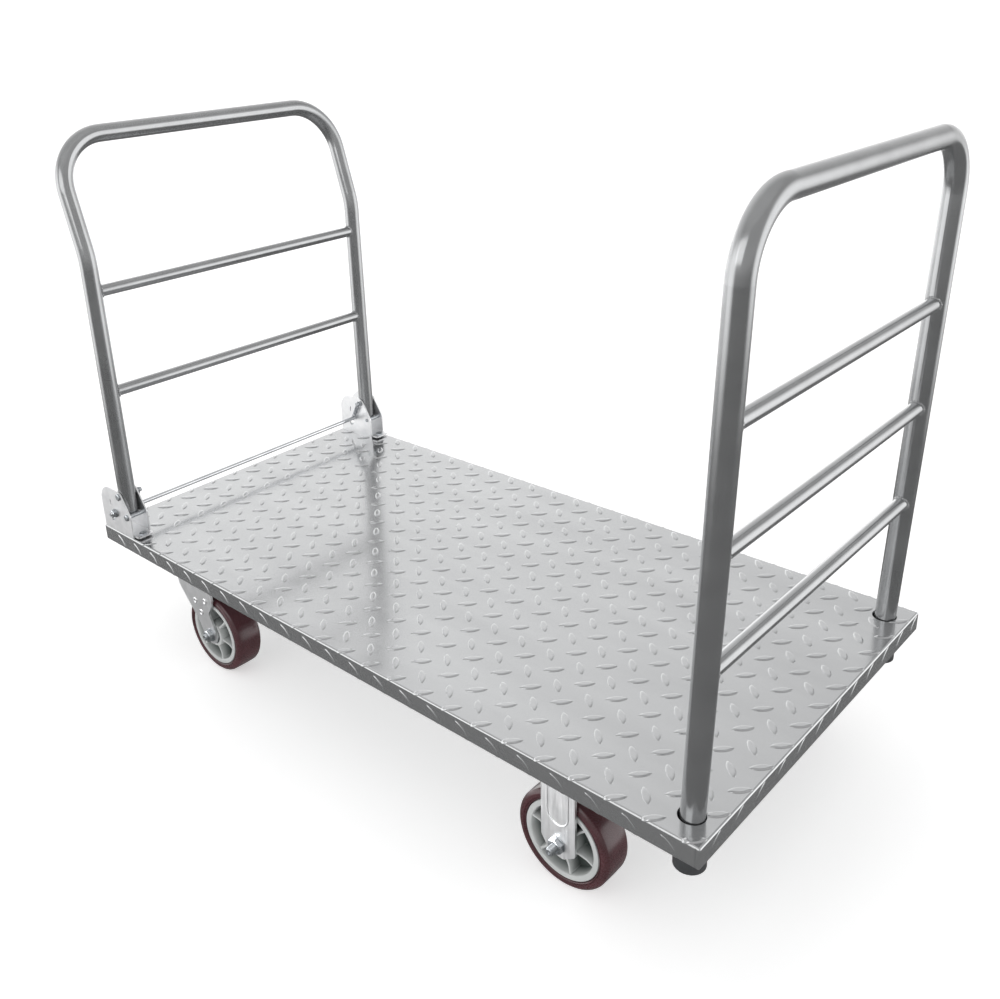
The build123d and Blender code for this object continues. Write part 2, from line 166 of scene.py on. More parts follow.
def mouldedPlastic(name, look):
    # moulded and lacquered: fine satin grain, faint flow marks
    material, tree, shader, place = startMaterial(name)
    flow, grain = [
        addNode(tree, "ShaderNodeTexNoise", {"Scale": perMetre(size), "Detail": detail},
                {"Vector": place}).outputs["Fac"]
        for size, detail in ((look["flowMm"], 3.0), (look["grainMm"], 2.0))]
    colour = twoTone(tree, flow, look["dark"], look["light"])
    # the pockets between the ribs get a darker colour: painted shade in the recesses, with some grime
    if "pocketShadeAndGrime" in look:
        pocket = addNode(tree, "ShaderNodeAttribute", {"attribute_name": "pocket"}).outputs["Fac"]
        colour = addNode(tree, "ShaderNodeMixRGB", {"Color2": toLinear(look["pocketShadeAndGrime"])},
                         {"Fac": pocket, "Color1": colour}).outputs["Color"]
    tree.links.new(colour, shader.inputs["Base Color"])
    setGloss(tree, shader, grain, look["gloss"])
    shader.inputs["IOR"].default_value = look["ior"]
    shader.inputs["Coat Weight"].default_value = look["coat"]
    shader.inputs["Coat Roughness"].default_value = 0.12
    bumped(tree, shader, [(grain, look["grainBump"], 0.03), (flow, 0.15, 0.08)])
    return material


# real flake is near 0.05 mm; it is drawn ten times coarser so that it shows
deckEnamel = paintedSteel("silverEnamelOnRolledSteel", {
    "dark": "#c9cacb", "light": "#d3d4d5", "cloudMm": 70.0, "grain": (0.2, 1.0, 1.0), "peelMm": 2.4, "peel": 0.08,
    "flakeMm": 0.5, "flakeShare": 0.2, "gloss": (0.15, 0.18), "metallic": 0.9, "coat": 0.1,
    "dustMm": 31.0, "dustDulls": 0.03})
tubeEnamel = paintedSteel("greyEnamelOnDrawnTube", {
    "dark": "#aeafb0", "light": "#b8b9ba", "cloudMm": 45.0, "peelMm": 2.2, "peel": 0.04,
    "flakeMm": 0.6, "flakeShare": 0.1, "gloss": (0.18, 0.21), "metallic": 0.9, "coat": 0.15,
    "dustMm": 31.0, "dustDulls": 0.03})
frameEnamel = paintedSteel("darkEnamelOnFoldedSteel", {
    "dark": "#5c5e60", "light": "#6c6e70", "cloudMm": 50.0, "peelMm": 2.0, "peel": 0.14,
    "flakeMm": 0.5, "flakeShare": 0.3, "gloss": (0.28, 0.42), "metallic": 0.6, "coat": 0.1,
    "dustMm": 31.0, "dustDulls": 0.03})
# rolling and grinding marks are a few hundredths of a millimetre wide; grainMm draws them much coarser to show
brightZinc = zincPlate("brightZincOnPressedSteel", {
    "dark": "#eeeff0", "light": "#fafafb", "cloudMm": 14.0, "grainMm": 3.0, "grain": (1.0, 1.0, 0.06),
    "gloss": (0.34, 0.42)})
boltZinc = zincPlate("zincOnForgedSteel", {
    "dark": "#a9adb1", "light": "#ccd0d3", "cloudMm": 5.0, "grainMm": 1.2, "grain": (1.0, 1.0, 1.0),
    "gloss": (0.24, 0.36)})
springZinc = zincPlate("zincOnDrawnWire", {
    "dark": "#9ea2a6", "light": "#c9ccd0", "cloudMm": 3.0, "grainMm": 0.8, "grain": (1.0, 1.0, 1.0),
    "gloss": (0.2, 0.35)})
polishedChrome = zincPlate("chromeOnGroundRod", {
    "dark": "#d9dbde", "light": "#eceef0", "cloudMm": 30.0, "grainMm": 1.5, "grain": (1.0, 0.05, 1.0),
    "gloss": (0.05, 0.12)})
groundSteel = zincPlate("groundBearingSteel", {
    "dark": "#b5b8bb", "light": "#d4d7da", "cloudMm": 8.0, "grainMm": 0.9, "grain": (1.0, 1.0, 1.0),
    "gloss": (0.14, 0.26)})
# mould grain is near 0.2 mm; grainMm draws it about five times coarser to show
# the pocket colour is painted shade for the core's recesses, with some grime
coreResin = mouldedPlastic("greyMouldedPolypropylene", {
    "dark": "#bfc2c1", "light": "#ced0cf", "pocketShadeAndGrime": "#525a57", "flowMm": 22.0, "grainMm": 0.9, "grainBump": 0.12,
    "gloss": (0.28, 0.42), "ior": 1.49, "coat": 0.2})
treadRubber = mouldedPlastic("maroonCastPolyurethane", {
    "dark": "#4a2a2e", "light": "#583338", "flowMm": 26.0, "grainMm": 1.1, "grainBump": 0.10, "gloss": (0.22, 0.34),
    "ior": 1.5, "coat": 0.35})
print("materials ready")


def joined(*shapes):
    verts, faces = [], []
    for shapeVerts, shapeFaces in shapes:
        start = len(verts)
        verts += [Vector(v) for v in shapeVerts]
        faces += [[i + start for i in face] for face in shapeFaces]
    return verts, faces


def moved(shape, matrix):
    return [matrix @ Vector(v) for v in shape[0]], shape[1]


def loft(rings, closedAround=True, capStart=True, capEnd=True, loop=False):
    count = len(rings[0])
    verts = [v for ring in rings for v in ring]
    faces = []
    spans = len(rings) if loop else len(rings) - 1
    for r in range(spans):
        here, there = r * count, ((r + 1) % len(rings)) * count
        for i in range(count if closedAround else count - 1):
            j = (i + 1) % count
            faces.append([here + i, here + j, there + j, there + i])
    if capStart and not loop:
        faces.append(list(range(count))[::-1])
    if capEnd and not loop:
        last = (len(rings) - 1) * count
        faces.append([last + i for i in range(count)])
    return verts, faces


def turned(profile, segments=96, closed=True):
    # profile of (along, radius) in mm turned round the Y axis
    rings = []
    for along, radius in profile:
        rings.append([(radius * mm * math.sin(2 * math.pi * i / segments), along * mm,
                       radius * mm * math.cos(2 * math.pi * i / segments)) for i in range(segments)])
    return loft(rings, loop=closed)


def tubeAlong(points, radius, segments=24, close=True):
    points = [Vector(p) for p in points]
    rings = []
    tangent = (points[1] - points[0]).normalized()
    side = tangent.orthogonal().normalized()
    for k, point in enumerate(points):
        ahead = points[min(k + 1, len(points) - 1)] - points[max(k - 1, 0)]
        turn = tangent.rotation_difference(ahead.normalized())
        side = (turn @ side).normalized()
        tangent = ahead.normalized()
        other = tangent.cross(side)
        size = radius(k) if callable(radius) else radius
        rings.append([point + size * (side * math.cos(a) + other * math.sin(a))
                      for a in (2 * math.pi * i / segments for i in range(segments))])
    return loft(rings, capStart=close, capEnd=close)


def sheetFrom(outline, thickness, holes=()):
    # flat XZ outline in mm, drilled, thickness along +Y
    loops = [[Vector((x * mm, z * mm, 0)) for x, z in outline]]
    loops += [[Vector((x * mm, z * mm, 0)) for x, z in hole] for hole in holes]
    flat = [v for loop in loops for v in loop]
    triangles = geometry.tessellate_polygon(loops)
    verts = [(v.x, y, v.y) for y in (0, thickness * mm) for v in flat]
    count = len(flat)
    faces = [list(t) for t in triangles] + [[i + count for i in t][::-1] for t in triangles]
    start = 0
    for loop in loops:
        size = len(loop)
        for i in range(size):
            a, b = start + i, start + (i + 1) % size
            faces.append([a, b, b + count, a + count])
        start += size
    return verts, faces


def drilled(x, z, radius, toX=None, toZ=None):
    # round hole, or a slot when it is given a second centre
    toX, toZ = (x, z) if toX is None else (toX, toZ)
    along = math.atan2(toZ - z, toX - x)
    hole = []
    for i in range(32):
        a = along - math.pi / 2 - 2 * math.pi * (i + 0.5) / 32
        here = (x, z) if i < 16 else (toX, toZ)
        hole.append((here[0] + radius * math.cos(a), here[1] + radius * math.sin(a)))
    return hole


def roundedOutline(points, radii, steps=6):
    # polygon with a fillet of the given radius at each corner
    result = []
    count = len(points)
    for i in range(count):
        here = Vector(points[i])
        before, after = Vector(points[i - 1]) - here, Vector(points[(i + 1) % count]) - here
        radius = radii[i]
        if radius == 0:
            result.append(tuple(here))
            continue
        angle = before.angle(after)
        reach = min(radius / math.tan(angle / 2), 0.49 * before.length, 0.49 * after.length)
        radius = reach * math.tan(angle / 2)
        centre = here + (before.normalized() + after.normalized()).normalized() * radius / math.sin(angle / 2)
        start = here + before.normalized() * reach - centre
        stop = here + after.normalized() * reach - centre
        swing = start.angle_signed(stop)
        for k in range(steps + 1):
            part = -swing * k / steps
            result.append((centre.x + start.x * math.cos(part) - start.y * math.sin(part),
                           centre.y + start.x * math.sin(part) + start.y * math.cos(part)))
    return result


def makePiece(name, shape, material, body, replaced=(), edge=0.0, smoothTo=32.0, merge=True,
              mark=None):
    # edge is the bevel in mm; body None leaves the piece on no body; mark fills the "pocket" attribute
    mesh = bpy.data.meshes.new(name)
    build = bmesh.new()
    made = [build.verts.new(v) for v in shape[0]]
    for face in shape[1]:
        try:
            build.faces.new([made[i] for i in face])
        except ValueError:
            pass
    if merge:
        bmesh.ops.remove_doubles(build, verts=build.verts, dist=0.01 * mm)
    bmesh.ops.dissolve_degenerate(build, dist=0.005 * mm, edges=build.edges)
    bmesh.ops.recalc_face_normals(build, faces=build.faces)
    if edge:
        bmesh.ops.dissolve_limit(build, angle_limit=math.radians(1.0), verts=build.verts, edges=build.edges)
        sharp = [e for e in build.edges if len(e.link_faces) == 2 and e.calc_face_angle(0) > math.radians(40)]
        bmesh.ops.bevel(build, geom=sharp, offset=edge * mm, segments=2, profile=0.5, affect="EDGES",
                        clamp_overlap=True)
    build.to_mesh(mesh)
    build.free()
    mesh.shade_smooth()
    mesh.set_sharp_from_angle(angle=math.radians(smoothTo))
    mesh.materials.append(material)
    # the "pocket" attribute marks where painted shade darkens a wheel core's pockets
    if mark:
        layer = mesh.attributes.new("pocket", "FLOAT", "POINT")
        layer.data.foreach_set("value", [mark(v.co / mm) for v in mesh.vertices])
    obj = bpy.data.objects.new(name, mesh)
    bpy.context.scene.collection.objects.link(obj)
    if edge:
        weighted = obj.modifiers.new("evenNormals", "WEIGHTED_NORMAL")
        weighted.keep_sharp = True
    if body:
        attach(obj, body)
    if replaced:
        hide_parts(*replaced)
    return obj


def softenedCopy(node, name, material, body, edge):
    source = frame["nodes"][node].data
    shape = ([v.co.copy() for v in source.vertices], [list(p.vertices) for p in source.polygons])
    return makePiece(name, shape, material, body, [node], edge)


def keepNode(node, material):
    obj = frame["nodes"][node]
    obj.data.materials.clear()
    obj.data.materials.append(material)


def centreOf(node):
    low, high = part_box(node)
    return (low + high) / 2


def alignedTo(axis, at):
    # carries +Z to axis, standing at a point
    return Matrix.Translation(at) @ Vector((0, 0, 1)).rotation_difference(Vector(axis)).to_matrix().to_4x4()


def circle(radius, z, segments):
    return [(radius * math.cos(2 * math.pi * i / segments), radius * math.sin(2 * math.pi * i / segments), z)
            for i in range(segments)]


def hexBlock(flats, height, bore=0.0, segments=48):
    # hexagon with the 30 degree chamfer that leaves curved scallops on its flats
    half = flats / 2
    bottom, scallop, top = [], [], []
    for i in range(segments):
        a = 2 * math.pi * i / segments
        reach = half / math.cos((a + math.pi / 6) % (math.pi / 3) - math.pi / 6)
        drop = (reach - 0.94 * half) * math.tan(math.radians(30))
        bottom.append((reach * math.cos(a), reach * math.sin(a), 0.0))
        scallop.append((reach * math.cos(a), reach * math.sin(a), height - drop))
        top.append((0.94 * half * math.cos(a), 0.94 * half * math.sin(a), height))
    rings = [bottom, scallop, top]
    if bore:
        for radius, z in ((bore + 0.6, height), (bore, height - 0.6), (bore, 0.0)):
            rings.append(circle(radius, z, segments))
        verts, faces = loft(rings, loop=True)
    else:
        for radius, z in ((0.70 * half, height), (0.62 * half, height - 0.35)):
            rings.append(circle(radius, z, segments))
        verts, faces = loft(rings)
    return [Vector(v) * mm for v in verts], faces


def threadedRod(radius, low, high, pitch, segments=28):
    # screw thread along +Z with a chamfered tip at the top
    steps = max(2, int((high - low) / pitch * 6))
    rings = []
    for k in range(steps + 1):
        z = low + (high - low) * k / steps
        tip = min(1.0, 0.72 + 0.28 * (high - z) / (0.9 * pitch))
        ring = []
        for i in range(segments):
            a = 2 * math.pi * i / segments
            phase = (z / pitch - i / segments) % 1.0
            cut = 0.55 * pitch * (1 - abs(2 * phase - 1))
            size = min(radius - cut, radius * tip)
            ring.append(Vector((size * math.cos(a), size * math.sin(a), z)) * mm)
        rings.append(ring)
    for share, drop in ((0.42, 0.0), (0.34, 0.9)):
        rings.append([Vector(point) * mm for point in circle(share * radius, high - drop, segments)])
    return loft(rings)


def washer(inner, outer, height, segments=40):
    section = ((outer, 0), (outer, height - 0.3), (outer - 0.3, height), (inner + 0.3, height),
               (inner, height - 0.3), (inner, 0))
    rings = [[Vector(point) * mm for point in circle(radius, z, segments)] for radius, z in section]
    return loft(rings, loop=True)


# the deck is one tread plate folded down at all four sides
deckLook = {
    "halfLength": 600.0, "halfWidth": 300.0, "top": 207.0, "depth": 28.0, "sheet": 2.0, "bend": 3.0,
    "lugLength": 30.0, "lugWidth": 10.6, "lugHeight": 1.5, "foldedShare": 0.5, "pitch": (50.4, 50.0),
    "risingAt": (-471.0, -42.0), "fallingAt": (-446.0, -67.0),
    "seamFromCorner": 5.0, "seamWidth": 0.7, "seamDepth": 0.6, "cornerRadius": 1.6}
socketHoles = [(566.6, side * 260.3, 16.5) for name, side in ends]
bracketSpot = {"x": (-602.0, -486.0), "y": (264.0, 302.0)}


def foldedPoint(u, v, lift):
    # a point of the flat pattern, lifted off the sheet, carried over the folded edges
    look = deckLook
    place = [u, v, look["top"] + lift]
    for axis, half in ((0, look["halfLength"]), (1, look["halfWidth"])):
        flat = half - look["bend"]
        value = (u, v)[axis]
        past = abs(value) - flat
        if past <= 0:
            continue
        sign = 1 if value > 0 else -1
        arc = look["bend"] * math.pi / 2
        limit = arc + look["depth"] - look["bend"] - 0.1
        past = min(past, limit)
        if past < arc:
            turn = past / look["bend"]
            place[axis] = sign * (flat + (look["bend"] + lift) * math.sin(turn))
            place[2] = look["top"] - look["bend"] + (look["bend"] + lift) * math.cos(turn)
        else:
            place[axis] = sign * (half + lift)
            place[2] = look["top"] - look["bend"] - (past - arc)
    return Vector(place) * mm


def lug(u, v, turn):
    # lens shaped lug; those carried over a fold are pressed nearly flat by the brake
    look = deckLook
    folded = abs(u) > look["halfLength"] or abs(v) > look["halfWidth"]
    lift = look["lugHeight"] * (look["foldedShare"] if folded else 1.0)
    rings = []
    for share, height in ((1.0, -0.12), (0.95, 0.30), (0.84, 0.72), (0.68, 0.95), (0.45, 1.0)):
        ring = []
        for i in range(18):
            a = 2 * math.pi * i / 18
            along = look["lugLength"] / 2 * share * math.cos(a)
            acrossLug = look["lugWidth"] / 2 * share * math.sin(a) * abs(math.sin(a)) ** 0.35
            x = u + along * math.cos(turn) - acrossLug * math.sin(turn)
            y = v + along * math.sin(turn) + acrossLug * math.cos(turn)
            for holeX, holeY, holeRadius in socketHoles:
                away = math.hypot(x - holeX, y - holeY)
                if 0 < away < holeRadius + 0.8:
                    x = holeX + (x - holeX) * (holeRadius + 0.8) / away
                    y = holeY + (y - holeY) * (holeRadius + 0.8) / away
            ring.append(foldedPoint(x, y, height * lift))
        rings.append(ring)
    return loft(rings, capStart=False)


def lugPlaces():
    look = deckLook
    reach = look["depth"] + 2
    for start, turn in ((look["risingAt"], math.pi / 4), (look["fallingAt"], -math.pi / 4)):
        for i in range(-3, 24):
            for j in range(-7, 9):
                u, v = start[0] + i * look["pitch"][0], start[1] + j * look["pitch"][1]
                pastX, pastY = abs(u) - look["halfLength"] + 4, abs(v) - look["halfWidth"] + 4
                if pastX > reach - 6 or pastY > reach - 6 or (pastX > -4 and pastY > -4):
                    continue
                x, y = bracketSpot["x"], bracketSpot["y"]
                if x[0] < u < x[1] and y[0] - 2 < abs(v) < y[1]:
                    continue
                if any(math.hypot(u - hx, v - hy) < hr + 1 for hx, hy, hr in socketHoles):
                    continue
                yield u, v, turn


def deckRing(halfX, halfY, z, seam):
    look = deckLook
    r, s, w = look["cornerRadius"], look["seamFromCorner"], look["seamWidth"]
    ring = []
    for sx, sy in ((1, 1), (-1, 1), (-1, -1), (1, -1)):
        corner = []
        for k in range(5):
            a = math.pi / 2 * k / 4
            corner.append((halfX - r + r * math.cos(a), halfY - r + r * math.sin(a)))
        for step, dip in ((s - w, 0), (s - w / 2, seam), (s + w / 2, seam), (s + w, 0)):
            corner.append((halfX - step, halfY - dip))
        if sx * sy < 0:
            corner = corner[::-1]
        ring += [Vector((sx * x, sy * y, z)) * mm for x, y in corner]
    return ring


def deckSheet():
    look = deckLook
    bend, top, sheet = look["bend"], look["top"], look["sheet"]
    bottom = top - look["depth"]
    outer = []
    for k in range(7):
        a = math.pi / 2 * k / 6
        reach = -bend + bend * math.sin(a)
        outer.append(deckRing(look["halfLength"] + reach, look["halfWidth"] + reach, top - bend + bend * math.cos(a),
                              look["seamDepth"] * (k / 6) ** 3))
    outer.append(deckRing(look["halfLength"], look["halfWidth"], bottom + 0.3, look["seamDepth"]))
    outer.append(deckRing(look["halfLength"] - 0.3, look["halfWidth"] - 0.3, bottom, look["seamDepth"]))
    inner = [deckRing(look["halfLength"] - sheet, look["halfWidth"] - sheet, z, 0)
             for z in (bottom, top - sheet - 1.0)]
    inner.append(deckRing(look["halfLength"] - sheet - 1.0, look["halfWidth"] - sheet - 1.0, top - sheet, 0))
    walls = loft(outer + inner, capStart=False, capEnd=False)
    shapes = [walls]
    holeLoops = [[(x + r * math.cos(a), y + r * math.sin(a)) for a in (-2 * math.pi * i / 48 for i in range(48))]
                 for x, y, r in socketHoles]
    for edgeRing, z in ((outer[0], top), (inner[-1], top - sheet)):
        loops = [[Vector((v.x, v.y, 0)) for v in edgeRing]]
        loops += [[Vector((x * mm, y * mm, 0)) for x, y in hole] for hole in holeLoops]
        triangles = geometry.tessellate_polygon(loops)
        shapes.append(([(v.x, v.y, z * mm) for loop in loops for v in loop], [list(t) for t in triangles]))
    for hole in holeLoops:
        rings = [[Vector((x * mm, y * mm, z * mm)) for x, y in hole] for z in (top, top - sheet)]
        shapes.append(loft(rings, capStart=False, capEnd=False))
    return joined(*shapes)


deck = makePiece("deckTreadPlate", joined(deckSheet(), *[lug(*p) for p in lugPlaces()]), deckEnamel, "truck",
                 ["deck_plate"], smoothTo=28.0)
evenDeck = deck.modifiers.new("evenNormals", "WEIGHTED_NORMAL")
evenDeck.keep_sharp = True
for part in ("swivel", "middle", "rigid"):
    softenedCopy("cross_channel_" + part, part + "CrossChannel", frameEnamel, "truck", 0.8)
for name, side in ends:
    keepNode("handle_socket_" + name, frameEnamel)
print("deck ready")


# each handle is a tube loop with bars welded across it
weldLook = {"bead": 1.7, "ripple": 0.35, "ripples": 22, "bar": 9.5, "tube": 14.3}


def weldBead(barX, barZ, postY, side, lean, rng):
    # rippled fillet round the end of a bar where it meets the post
    look = weldLook
    points = []
    count = 72
    for i in range(count):
        a = 2 * math.pi * i / count
        x, z = look["bar"] * math.cos(a), look["bar"] * math.sin(a)
        y = postY - side * math.sqrt(look["tube"] ** 2 - x * x)
        points.append(Vector((barX + x + z * lean, y - side * 0.2, barZ + z - x * lean)) * mm)
    rings = []
    for i, point in enumerate(points):
        forward = (points[(i + 1) % count] - points[i - 1]).normalized()
        outward = (point - Vector((barX * mm, point.y, barZ * mm))).normalized()
        other = forward.cross(outward).normalized()
        size = (look["bead"] + look["ripple"] * math.sin(2 * math.pi * i * look["ripples"] / count)
                + rng.uniform(-0.12, 0.12)) * mm
        rings.append([point + size * (outward * math.cos(b) + other * math.sin(b))
                      for b in (2 * math.pi * k / 10 for k in range(10))])
    return loft(rings, loop=True)


handleLook = {
    "folding_handle": {"bars": ("lower", "upper"), "postY": 282.2, "lean": 0.0},
    "removable_handle": {"bars": ("lower", "middle", "upper"), "postY": 260.3, "lean": 0.0298}}
rng = random.Random(7)
for handle, look in handleLook.items():
    keepNode(handle + "_loop", tubeEnamel)
    beads = []
    for bar in look["bars"]:
        node = handle + "_bar_" + bar
        keepNode(node, tubeEnamel)
        at = centreOf(node) / mm
        beads += [weldBead(at.x, at.z, side * look["postY"], side, look["lean"], rng) for name, side in ends]
    makePiece(handle + "_welds", joined(*beads), tubeEnamel, handle, merge=False)
print("handles ready")


bracketLook = {
    "back": -595.0, "front": -505.5, "height": 82.0, "slopeHeight": 42.0, "slopeRun": 26.0, "backRadius": 38.0,
    "wall": 2.5, "inner": 267.4, "outer": 297.0, "base": 3.0, "footEnd": -491.5, "deckTop": 207.0, "bend": 3.0,
    "pivotHole": (-534.2, 279.0, 4.1), "stopHole": (-516.1, 245.0, 3.6),
    "rodSlot": (-553.8, 243.0, 4.6, -564.8, 227.5),
    "springSlot": (-565.5, 256.0, 1.5, -565.5, 264.0), "boltHoles": (-586.0, -500.8), "boltHoleRadius": 4.4}


def hingeBracket(side):
    # steel strip folded to a U: two cheeks and a base
    look = bracketLook
    low, high = look["deckTop"], look["deckTop"] + look["height"]
    outline = roundedOutline(
        [(look["back"], low), (look["front"], low), (look["front"], low + look["slopeHeight"]),
         (look["front"] - look["slopeRun"], high), (look["back"], high)],
        [0, 0, 8, 12, look["backRadius"]], 10)
    holes = [drilled(*look[hole]) for hole in ("pivotHole", "stopHole", "rodSlot", "springSlot")]
    cheekSheet = sheetFrom(outline, look["wall"], holes)
    outerFace = min(side * look["outer"], side * (look["outer"] + look["wall"]))
    innerFace = min(side * look["inner"], side * (look["inner"] - look["wall"]))
    shapes = [moved(cheekSheet, Matrix.Translation((0, y * mm, 0))) for y in (outerFace, innerFace)]
    middle = side * (look["inner"] + look["outer"]) / 2
    half = (look["outer"] - look["inner"]) / 2
    start, stop = look["back"], look["footEnd"]
    baseOutline = roundedOutline([(start, -half), (stop, -half), (stop, half), (start, half)], [0.5, 3, 3, 0.5])
    baseHoles = [drilled(x, 0, look["boltHoleRadius"]) for x in look["boltHoles"]]
    shapes.append(moved(sheetFrom(baseOutline, look["base"], baseHoles),
                        Matrix.Translation(Vector((0, middle, low + look["base"])) * mm)
                        @ Matrix.Rotation(math.radians(90), 4, "X")))
    for edge in (-1, 1):
        rings = []
        for x in (look["back"], look["front"]):
            curve = [(0.0, 0.0)] + [(look["bend"] * (1 - math.sin(a)), look["bend"] * (1 - math.cos(a)))
                                    for a in (math.pi / 2 * k / 6 for k in range(7))]
            rings.append([Vector((x, middle + edge * (half - across), low + look["base"] + up)) * mm
                          for across, up in curve])
        shapes.append(loft(rings))
    return joined(*shapes)


for name, side in ends:
    makePiece(name + "HingeBracket", hingeBracket(side), brightZinc, "truck", ["hinge_bracket_" + name],
              0.4, merge=False)
for node in ("pivot_pins", "stop_pins"):
    keepNode(node, boltZinc)

rodLow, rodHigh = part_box("lock_rod")
rodAt = (rodLow + rodHigh) / 2 / mm
rodEnd = rodHigh.y / mm
rodLook = {"radius": 4.0, "thread": 11.0, "pitch": 1.25, "nut": (13.0, 5.3), "washer": (8.0, 1.8)}


def lockRod():
    look = rodLook
    plain = rodEnd - look["thread"]
    bar = turned([(-plain, 0.01), (-plain, look["radius"]), (plain, look["radius"]), (plain, 0.01)], 40, closed=False)
    shapes = [moved(bar, Matrix.Translation(Vector((rodAt.x, 0, rodAt.z)) * mm))]
    for name, side in ends:
        tip = threadedRod(look["radius"], 0, look["thread"], look["pitch"])
        shapes.append(moved(tip, alignedTo((0, side, 0), Vector((rodAt.x, side * plain, rodAt.z)) * mm)))
    return joined(*shapes)


makePiece("lockRod", lockRod(), polishedChrome, "lock_rod", ["lock_rod"])
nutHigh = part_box("lock_rod_nuts")[1]
shapes = []
for name, side in ends:
    inner = nutHigh.y / mm - rodLook["nut"][1] - rodLook["washer"][1]
    at = Vector((rodAt.x, side * inner, rodAt.z)) * mm
    ring = washer(rodLook["radius"], rodLook["washer"][0], rodLook["washer"][1])
    shapes.append(moved(ring, alignedTo((0, side, 0), at)))
    at = Vector((rodAt.x, side * (inner + rodLook["washer"][1]), rodAt.z)) * mm
    nut = hexBlock(rodLook["nut"][0], rodLook["nut"][1], rodLook["radius"])
    shapes.append(moved(nut, alignedTo((0, side, 0), at)))
makePiece("lockRodNuts", joined(*shapes), boltZinc, "lock_rod", ["lock_rod_nuts"])

springLook = {"wire": 1.2, "coil": 3.4, "turns": 11, "hook": 4.7, "fromEnd": 4.0, "hookStart": -60, "hookSweep": 250}
pivotAt = centreOf("pivot_pins") / mm
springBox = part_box("lock_springs")


def lockSpring(side):
    look = springLook
    top = Vector((pivotAt.x, 0, pivotAt.z))
    low = Vector((rodAt.x, 0, rodAt.z))
    along = (top - low).normalized()
    length = (top - low).length
    sideways = Vector((0, 1, 0))
    acrossCoil = along.cross(sideways)
    y = side * (springBox[1].y / mm - look["fromEnd"])
    centre = (top + low) / 2 + Vector((0, y, 0))
    body = length - 2 * look["hook"] - look["wire"]
    points = []
    for k in range(25):
        a = math.radians(look["hookStart"] + look["hookSweep"] * k / 24)
        points.append(centre - along * (length / 2) - look["hook"] * (acrossCoil * math.cos(a + math.pi / 2)
                      + along * math.sin(a + math.pi / 2)))
    steps = look["turns"] * 18
    for k in range(steps + 1):
        a = 2 * math.pi * look["turns"] * k / steps
        spread = look["coil"] * min(1.0, k / 9, (steps - k) / 9)
        points.append(centre + along * (-body / 2 + body * k / steps)
                      + spread * (acrossCoil * math.sin(a) + sideways * math.cos(a)))
    for k in range(25):
        a = math.radians(look["hookStart"] + look["hookSweep"] * (24 - k) / 24)
        points.append(centre + along * (length / 2) + look["hook"] * (acrossCoil * math.cos(a + math.pi / 2)
                      + along * math.sin(a + math.pi / 2)))
    return tubeAlong([p * mm for p in points], look["wire"] / 2 * mm, 10)


# hooked to the truck at one end and to the rod at the other, so the springs ride neither
springs = makePiece("lockSprings", joined(lockSpring(-1), lockSpring(1)), springZinc, None, ["lock_springs"],
                    merge=False)
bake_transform(springs)


def screwSet(name, nodes, bolts, material, body):
    # each bolt: foot of the head, direction to the head, flats, head height, radius, length below the head, pitch
    shapes = []
    for at, axis, flats, height, radius, length, pitch in bolts:
        place = alignedTo(axis, Vector(at) * mm)
        shapes.append(moved(hexBlock(flats, height), place))
        shank = threadedRod(radius, 0, length, pitch)
        shapes.append(moved(shank, place @ Matrix.Rotation(math.pi, 4, "X")))
    return makePiece(name, joined(*shapes), material, body, nodes)


boltLook = {"flats": 13.0, "head": 5.3, "radius": 4.0, "length": 15.0, "pitch": 1.25, "inset": 7.5,
            "y": 282.2, "headFoot": 210.0, "nutTop": 205.0}
bolts = []
low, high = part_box("bracket_bolts")
for name, side in ends:
    for x in (low.x / mm + boltLook["inset"], high.x / mm - boltLook["inset"]):
        bolts.append(((x, side * boltLook["y"], boltLook["headFoot"]), (0, 0, 1), boltLook["flats"],
                      boltLook["head"], boltLook["radius"], boltLook["length"], boltLook["pitch"]))
screwSet("bracketBolts", ["bracket_bolts"], bolts, boltZinc, "truck")
shapes = []
for at, axis, flats, height, radius, length, pitch in bolts:
    nutAt = Vector((at[0], at[1], boltLook["nutTop"])) * mm
    shapes.append(moved(hexBlock(flats, height, radius), alignedTo((0, 0, -1), nutAt)))
makePiece("bracketNuts", joined(*shapes), boltZinc, "truck", ["bracket_nuts"])
print("brackets ready")


casterLook = {
    "side": 245.0, "rigidX": 393.0, "swivelX": -341.0, "kingpinX": -383.0, "plateTop": 179.0, "plate": 4.0,
    "wheel": 70.0, "legInner": 26.5, "wall": 4.0, "boltX": 42.0, "boltY": 36.0,
    "plateHalf": (57, 50), "plateCorner": 8, "boltHole": 5.5, "axleHole": 6.0, "boltFlats": 17.0, "boltHead": 6.4,
    "boltRadius": 5.0, "boltLength": 15.4, "boltPitch": 1.5, "headFoot": 182.0}
plateUnder = casterLook["plateTop"] - casterLook["plate"]


def mountingPlate(x, y):
    halfX, halfY = casterLook["plateHalf"]
    outline = roundedOutline([(-halfX, -halfY), (halfX, -halfY), (halfX, halfY), (-halfX, halfY)],
                             [casterLook["plateCorner"]] * 4)
    holes = [drilled(dx * casterLook["boltX"], dy * casterLook["boltY"], casterLook["boltHole"])
             for dx in (-1, 1) for dy in (-1, 1)]
    shape = sheetFrom(outline, casterLook["plate"], holes)
    lay = Matrix.Translation(Vector((x, y, plateUnder)) * mm) @ Matrix.Rotation(math.radians(90), 4, "X")
    return moved(shape, lay)


def standingLeg(outline, axle, holes, side, y):
    low = y + side * casterLook["legInner"] - (casterLook["wall"] if side < 0 else 0)
    shape = sheetFrom(outline, casterLook["wall"], holes)
    return moved(shape, Matrix.Translation(Vector((axle[0], low, axle[1])) * mm))


def pressedRib(path, y, width):
    # half round bead standing out of a leg's outer face, following a line in XZ
    points = [Vector((x, y, z)) * mm for x, z in path]
    return tubeAlong(points, width / 2 * mm, 10)


